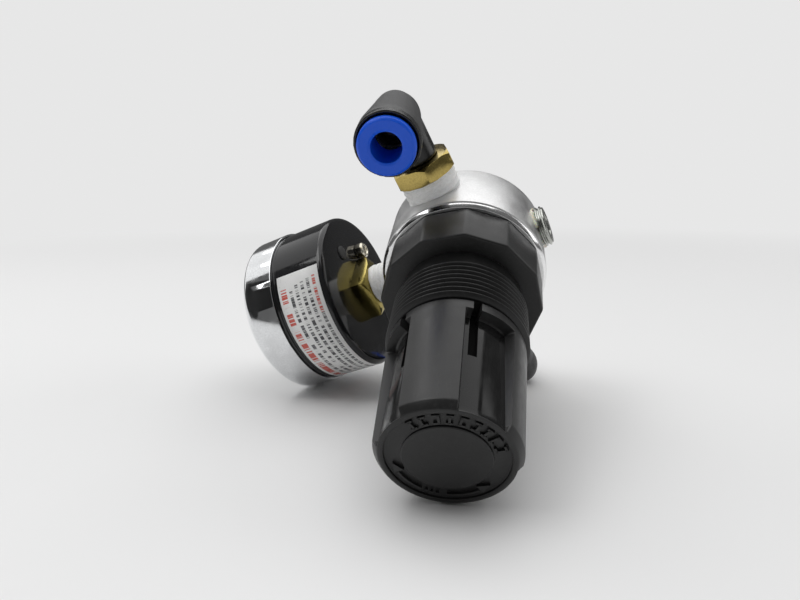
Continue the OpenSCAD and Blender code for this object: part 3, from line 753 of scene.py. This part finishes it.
def makeCollet(side, shape, place, body, material):
    line = [
        (shape["bore"], shape["inner"]), (shape["sleeve"], shape["inner"]),
        (shape["sleeve"], shape["flange"] - 0.1), (shape["sleeve"] + 0.1, shape["flange"]),
        (shape["outer"] - 0.2, shape["flange"]),
        (shape["outer"], shape["flange"] + 0.2), (shape["outer"], shape["front"] - 0.45),
        (shape["outer"] - 0.45, shape["front"]), (shape["bore"] + 0.55, shape["front"] - 0.1),
        (shape["bore"], shape["front"] - 0.3),
    ]
    bm = profile(rounded(line + [line[0]], {6: 0.25, 7: 0.35, 8: 0.3, 9: 0.15}, 4), 96)
    finishPiece(bm, side + "_collet_ring", place, body, material,
                (side + "_collet",), 45)


makeElbow("outlet", elbowShape, "outlet_fitting", finishes["outletElbow"])
makeElbow("inlet", elbowShape, "inlet_fitting", finishes["inletElbow"])
makeCollet("outlet", colletShape, outletTube, "outlet_release", finishes["outletCollet"])
makeCollet("inlet", colletShape, inletTube, "inlet_release", finishes["inletCollet"])

for side in ("outlet", "inlet"):
    softened(side + "_stud", 0.16, "regulator", finishes[side + "Brass"])
    dress(side + "_stud_ring", finishes["rubber"])
    dress(side + "_tube_seal", finishes["rubber"])
    dress(side + "_grip_ring", finishes["steel"])
    dress(side + "_guide_ring", finishes["innerBrass"])

# thread tape

tapeShape = {
    "steps": 160, "rows": 44, "pitch": 1.41, "ripple": 0.26, "lumps": 0.14, "crease": 0.1,
    "most": 0.12, "least": -0.13, "turnIn": 0.35, "sway": 0.28, "seed": 4,
}


def makeTape(node, place, low, high, radius, shape, material):
    # wraps that follow the thread below, with uneven ends
    rows = shape["rows"]
    line = [(radius - shape["turnIn"], low)]
    for k in range(rows + 1):
        z = low + (high - low) * k / rows
        line.append((radius, z))
    line.append((radius - shape["turnIn"], high))
    bm = profile(line, shape["steps"])
    offset = Vector((shape["seed"] * 3.1, radius, 0))
    for v in bm.verts:
        r = math.hypot(v.co.x, v.co.y)
        theta = math.atan2(v.co.y, v.co.x)
        wave = math.sin(2 * math.pi * (v.co.z / shape["pitch"]) + theta)
        lump = noise.noise(Vector((v.co.x, v.co.y, v.co.z * 2.2)) * 0.42 + offset)
        crease = abs(noise.noise(Vector((v.co.x * 1.5, v.co.y * 1.5, v.co.z * 4)) * 0.6 + offset))
        grow = shape["ripple"] * wave * 0.5 + shape["lumps"] * lump - shape["crease"] * crease
        end = min(v.co.z - low, high - v.co.z)
        scale = 1 + max(min(grow, shape["most"]), shape["least"]) / r
        v.co.x *= scale
        v.co.y *= scale
        if end < 0.3 and r > radius - 0.2:
            sway = shape["sway"] * noise.noise(Vector((theta * 1.3, low, 2.0)) + offset)
            v.co.z += abs(sway) if v.co.z < (low + high) / 2 else -abs(sway)
    finishPiece(bm, node + "_wraps", place, "regulator", material, (node,), 60)


makeTape("outlet_tape", outletStem, 18.35, 23.86, 6.77, tapeShape, finishes["outletTape"])
makeTape("inlet_tape", inletStem, 17.55, 23.86, 6.77, tapeShape, finishes["inletTape"])
makeTape("gauge_tape", gaugePort, 19.05, 26.28, 5.24, tapeShape, finishes["gaugeTape"])
print("fittings made")

# pipe plug

softened("pipe_plug", 0.07, "regulator", finishes["plug"])
sealantShape = {"low": 19.35, "high": 20.35, "inner": 4.4, "radius": 4.95, "seed": 9}


def makeSealant(shape):
    # an uneven squeezed-out bead round the plug's thread
    r = shape["radius"]
    line = [
        (shape["inner"], shape["low"]), (r + 0.15, shape["low"]), (r + 0.2, shape["low"] + 0.6),
        (r + 0.05, shape["high"] - 0.3), (4.7, shape["high"]), (shape["inner"], shape["high"]),
    ]
    bm = profile(rounded(line, {2: 0.3, 3: 0.3, 4: 0.2}, 3), 96)
    for v in bm.verts:
        theta = math.atan2(v.co.y, v.co.x)
        swell = noise.noise(Vector((math.cos(theta), math.sin(theta), shape["seed"])) * 2.1)
        swell += 0.5 * noise.noise(Vector((v.co.x, v.co.y, v.co.z)) * 1.1)
        share = (v.co.z - shape["low"]) / (shape["high"] - shape["low"])
        v.co.z += share * (0.5 * swell - 0.25)
        v.co.x *= 1 + 0.05 * swell
        v.co.y *= 1 + 0.05 * swell
    finishPiece(bm, "plug_sealant", plugPort, "regulator", finishes["sealant"], (), 60)


makeSealant(sealantShape)

# gauge

gaugeShape = {
    "back": 30.5, "caseFront": 46.2, "front": 56.5, "caseR": 21.2, "bezelR": 21.8, "edge": 1.0,
    "labelFrom": 56.0, "labelArc": 150.0, "dialZ": 47.9, "windowZ": 53.1, "windowR": 20.9,
    "holeR": 5.1, "insideR": 20.3, "sightR": 17.8, "beadDepth": 0.14,
}


def makeGaugeCase(shape):
    back = shape["back"]
    front = shape["caseFront"]
    r = shape["caseR"]
    bead = r - shape["beadDepth"]
    line = [
        (shape["holeR"], back + 0.9), (shape["holeR"], back + 0.1), (5.4, back), (r - 3.2, back),
        (r, back + 0.05), (r, front - 1.55), (bead, front - 1.4), (bead, front - 0.95),
        (r, front - 0.8), (r, front + 0.3), (shape["insideR"], front + 1.2),
        (shape["insideR"], shape["windowZ"]),
    ]
    bm = profile(rounded(line, {4: 1.9}, 10), 160)
    finishPiece(bm, "gauge_can", gaugePort, "regulator", finishes["enamel"],
                ("gauge_case",), 40)


def makeBezel(shape):
    r = shape["bezelR"]
    low = shape["caseFront"]
    high = shape["front"]
    line = [
        (shape["caseR"] + 0.02, low + 0.2), (shape["caseR"] + 0.12, low), (r - 0.12, low),
        (r, low + 0.12), (r, high - 2.0), (r - 2.0, high), (18.3, high),
        (shape["sightR"], high - 0.35), (shape["sightR"], high - 0.75), (21.0, high - 2.02),
    ]
    bm = profile(rounded(line, {2: 0.1, 4: 1.7, 5: 1.7, 6: 0.3, 7: 0.1}, 8), 192)
    finishPiece(bm, "gauge_ring", gaugePort, "regulator", finishes["chrome"],
                ("gauge_bezel",), 45)


def makeLabel(shape):
    low = shape["back"] + shape["edge"] + 0.55
    high = shape["caseFront"] - 1.75
    r = shape["caseR"] + 0.06
    line = [(r - 0.05, low), (r, low + 0.03), (r, high - 0.03), (r - 0.05, high)]
    bm = profile(line, 96, shape["labelArc"], shape["labelFrom"] - shape["labelArc"])
    finishPiece(bm, "gauge_wrap", gaugePort, "regulator", finishes["label"],
                ("gauge_label",), 60)


def makeWindow(shape):
    z = shape["windowZ"]
    line = [
        (0, z), (shape["windowR"], z), (shape["windowR"], z + 1.25), (17.5, z + 1.3), (0, z + 1.3),
    ]
    lens = finishPiece(profile(line, 96), "gauge_lens", gaugePort, "regulator",
                       finishes["glass"], ("gauge_window",), 30)
    lens.visible_shadow = False  # clear glass doesn't shade the dial


makeGaugeCase(gaugeShape)
makeBezel(gaugeShape)
makeLabel(gaugeShape)
makeWindow(gaugeShape)

dialShape = {
    "scale": 10, "unit": 20, "ticks": 5, "major": 17.4, "inner": 15.4, "majorWidth": 0.34,
    "minorWidth": 0.16, "numbers": 12.3, "size": 3.6, "from": -135.0, "sweep": 270.0, "limitAt": 216,
}


def makeDial(shape):
    # ticks clockwise from where the pointer rests; the dial's top is local +Y
    z = gaugeShape["dialZ"] + 0.02
    bm = bmesh.new()
    steps = shape["scale"] * shape["ticks"]
    for k in range(steps + 1):
        at = shape["from"] - shape["sweep"] * k / steps
        major = k % shape["ticks"] == 0
        inner = shape["inner"] if major else shape["inner"] + 1.1
        width = shape["majorWidth"] if major else shape["minorWidth"]
        made = bmesh.ops.create_cube(bm, size=1.0)
        size = Matrix.Diagonal((width, shape["major"] - inner, 0.04, 1))
        place = turn(at - 90, "Z") @ move(0, (inner + shape["major"]) / 2, z + 0.02) @ size
        bmesh.ops.transform(bm, matrix=place, verts=made["verts"])
    finishPiece(bm, "dial_ticks", gaugePort, "regulator", finishes["ink"])
    arc = bmesh.new()
    arcBar(arc, shape["major"] + 0.45, shape["from"] - shape["sweep"], shape["from"] - shape["limitAt"],
           0.7, z, z + 0.04, 20)
    bmesh.ops.recalc_face_normals(arc, faces=arc.faces)
    finishPiece(arc, "dial_limit", gaugePort, "regulator", finishes["redInk"])
    for k in range(0, shape["scale"] + 1, 2):
        at = rad(shape["from"] - shape["sweep"] * k / shape["scale"])
        curve = bpy.data.curves.new("number", "FONT")
        curve.body = str(k * shape["unit"])
        curve.size = shape["size"]
        curve.align_x = "CENTER"
        curve.align_y = "CENTER"
        curve.extrude = 0.02
        holder = bpy.data.objects.new("numberText", curve)
        bpy.context.scene.collection.objects.link(holder)
        bpy.context.view_layer.update()
        evaluated = holder.evaluated_get(bpy.context.evaluated_depsgraph_get())
        mesh = bpy.data.meshes.new_from_object(evaluated)
        bpy.data.objects.remove(holder)
        bm = bmesh.new()
        bm.from_mesh(mesh)
        place = move(shape["numbers"] * math.cos(at), shape["numbers"] * math.sin(at), z + 0.03)
        bmesh.ops.transform(bm, matrix=place, verts=bm.verts)
        finishPiece(bm, f"dial_number_{k}", gaugePort, "regulator", finishes["ink"])


makeDial(dialShape)

screwShape = {
    "reach": 11.4, "turns": (141.0, 219.0), "radius": 2.2, "head": 2.5, "shankR": 1.0,
}


def makeScrews(shape):
    back = gaugeShape["back"]
    top = back - shape["head"]
    r = shape["radius"]
    line = [
        (shape["shankR"], back + 2), (shape["shankR"], back - 0.05), (r - 0.1, back - 0.05),
        (r, back - 0.2), (r, top + 0.5), (r - 0.45, top), (r - 0.8, top), (r - 1.0, top + 0.35),
        (0.0, top + 0.45),
    ]
    bm = bmesh.new()
    for at in shape["turns"]:
        one = profile(rounded(line, {4: 0.3, 5: 0.25, 6: 0.15, 7: 0.15}, 4), 64)
        bmesh.ops.transform(one, matrix=turn(at, "Z") @ move(shape["reach"], 0, 0), verts=one.verts)
        scratch = bpy.data.meshes.new("screwOne")
        one.to_mesh(scratch)
        one.free()
        bm.from_mesh(scratch)
        bpy.data.meshes.remove(scratch)
    finishPiece(bm, "gauge_screw_heads", gaugePort, "regulator", finishes["screw"],
                ("gauge_screws",), 40)


makeScrews(screwShape)
softened("gauge_socket", 0.1, "regulator", finishes["gaugeBrass"])
softened("gauge_vent", 0.12, "regulator", finishes["rubber"])
dress("gauge_dial", finishes["dial"])
softened("gauge_pointer", 0.05, "pointer", finishes["ink"])
for node in ("bourdon_tube", "movement_frame", "sector_gear", "pointer_shaft", "movement_link",
             "thrust_washer", "spring_nut", "relief_seat", "valve_poppet"):
    dress(node, finishes["innerBrass"])
for node in ("adjusting_screw", "screw_clip", "range_spring", "diaphragm_plate", "valve_spring",
             "hairspring"):
    dress(node, finishes["steel"])
for node in ("diaphragm", "poppet_seal", "bottom_seal"):
    dress(node, finishes["rubber"])
dress("slip_ring", finishes["white"])
softened("bottom_plug", 0.2, "regulator", finishes["innerBrass"])
print("gauge and inner parts dressed")

# floor, light and camera

studio = {
    "paper": (0.80, 0.80, 0.80), "floorSize": 6.0, "shown": 0.80, "dim": 0.13, "fade": (0.16, 0.75),
    "card": {"size": (0.27, 0.2), "at": (-0.3, -0.15, 0.115), "aim": (-0.03, 0.02, 0.03)},
}
# for each light: power, size, where it stands and what it faces
lights = {
    "keyLight": (8.4, 1.3, (0.0, 0.15, 0.9), (0, 0, 0.03)),
    "leftLight": (1.8, 0.8, (-0.75, 0.3, 0.6), (0, 0, 0.04)),
    "rightLight": (1.5, 0.6, (0.8, 0.2, 0.4), (0, 0, 0.04)),
    "frontLight": (2.4, 0.5, (-0.55, -0.3, 0.85), (0, 0, 0.04)),
}


def cameraOnly(tree):
    # 1 where the camera looks straight at it, 0 in light and reflections
    return tree.nodes.new("ShaderNodeLightPath").outputs["Is Camera Ray"]


def makeFloor(shape):
    # pale paper that fades into the same pale distance all round
    bm = bmesh.new()
    bmesh.ops.create_grid(bm, x_segments=1, y_segments=1, size=shape["floorSize"] / 2)
    mesh = bpy.data.meshes.new("floor")
    bm.to_mesh(mesh)
    bm.free()
    floor = bpy.data.objects.new("floor", mesh)
    bpy.context.scene.collection.objects.link(floor)
    paper = Finish("palePaper", shape["paper"], 0.6)
    paper.shader.inputs["Specular IOR Level"].default_value = 0.2
    coords = paper.node("ShaderNodeTexCoord").outputs["Object"]
    away = paper.node("ShaderNodeVectorMath", operation="LENGTH")
    paper.link(coords, away.inputs[0])
    far = paper.node("ShaderNodeMapRange", interpolation_type="SMOOTHSTEP")
    paper.link(away.outputs["Value"], far.inputs["Value"])
    far.inputs["From Min"].default_value = shape["fade"][0]
    far.inputs["From Max"].default_value = shape["fade"][1]
    fade = paper.math("MULTIPLY", far.outputs["Result"], cameraOnly(paper.tree))
    glow = paper.node("ShaderNodeEmission")
    glow.inputs["Color"].default_value = (shape["shown"],) * 3 + (1,)
    blend = paper.node("ShaderNodeMixShader")
    paper.link(fade, blend.inputs[0])
    paper.link(paper.shader.outputs[0], blend.inputs[1])
    paper.link(glow.outputs[0], blend.inputs[2])
    paper.link(blend.outputs[0], paper.tree.nodes["Material Output"].inputs["Surface"])
    mesh.materials.append(paper.material)


def makeWorld(shape):
    world = bpy.data.worlds.new("studioWorld")
    bpy.context.scene.world = world
    world.use_nodes = True
    tree = world.node_tree
    background = tree.nodes["Background"]
    background.inputs["Color"].default_value = (1, 1, 1, 1)
    level = tree.nodes.new("ShaderNodeMapRange")
    tree.links.new(cameraOnly(tree), level.inputs["Value"])
    level.inputs["To Min"].default_value = shape["dim"]
    level.inputs["To Max"].default_value = shape["shown"]
    tree.links.new(level.outputs["Result"], background.inputs["Strength"])


def areaLight(name, power, size, at, aim):
    data = bpy.data.lights.new(name, "AREA")
    data.energy = power
    data.size = size
    lamp = bpy.data.objects.new(name, data)
    lamp.location = at
    lamp.rotation_euler = (Vector(aim) - Vector(at)).to_track_quat("-Z", "Y").to_euler()
    lamp.visible_camera = False
    bpy.context.scene.collection.objects.link(lamp)


def darkCard(name, shape):
    # a black card that only reflections see
    bm = bmesh.new()
    bmesh.ops.create_grid(bm, x_segments=1, y_segments=1, size=0.5)
    way = Vector(shape["aim"]) - Vector(shape["at"])
    face = way.to_track_quat("Z", "Y").to_matrix().to_4x4()
    size = Matrix.Diagonal((*shape["size"], 1, 1))
    bmesh.ops.transform(bm, matrix=Matrix.Translation(shape["at"]) @ face @ size, verts=bm.verts)
    mesh = bpy.data.meshes.new(name)
    bm.to_mesh(mesh)
    bm.free()
    card = bpy.data.objects.new(name, mesh)
    card.visible_camera = False
    card.visible_diffuse = False
    card.visible_shadow = False
    bpy.context.scene.collection.objects.link(card)
    mesh.materials.append(Finish(name + "Black", (0.01, 0.01, 0.01), 0.9).material)


makeFloor(studio)
makeWorld(studio)
for name, values in lights.items():
    areaLight(name, *values)
darkCard("sideCard", studio["card"])

view = {
    "at": (0.02545, -0.13851, 0.05673), "turned": (79.074, 0.512, 8.772), "lens": 26.4,
    "sensor": 36, "nearest": 0.005,
}
cameraData = bpy.data.cameras.new("camera")
cameraData.lens = view["lens"]
cameraData.sensor_width = view["sensor"]
cameraData.clip_start = view["nearest"]
camera = bpy.data.objects.new("camera", cameraData)
camera.location = view["at"]
camera.rotation_euler = [rad(a) for a in view["turned"]]
bpy.context.scene.collection.objects.link(camera)
bpy.context.scene.camera = camera
bpy.context.scene.view_settings.view_transform = "Standard"
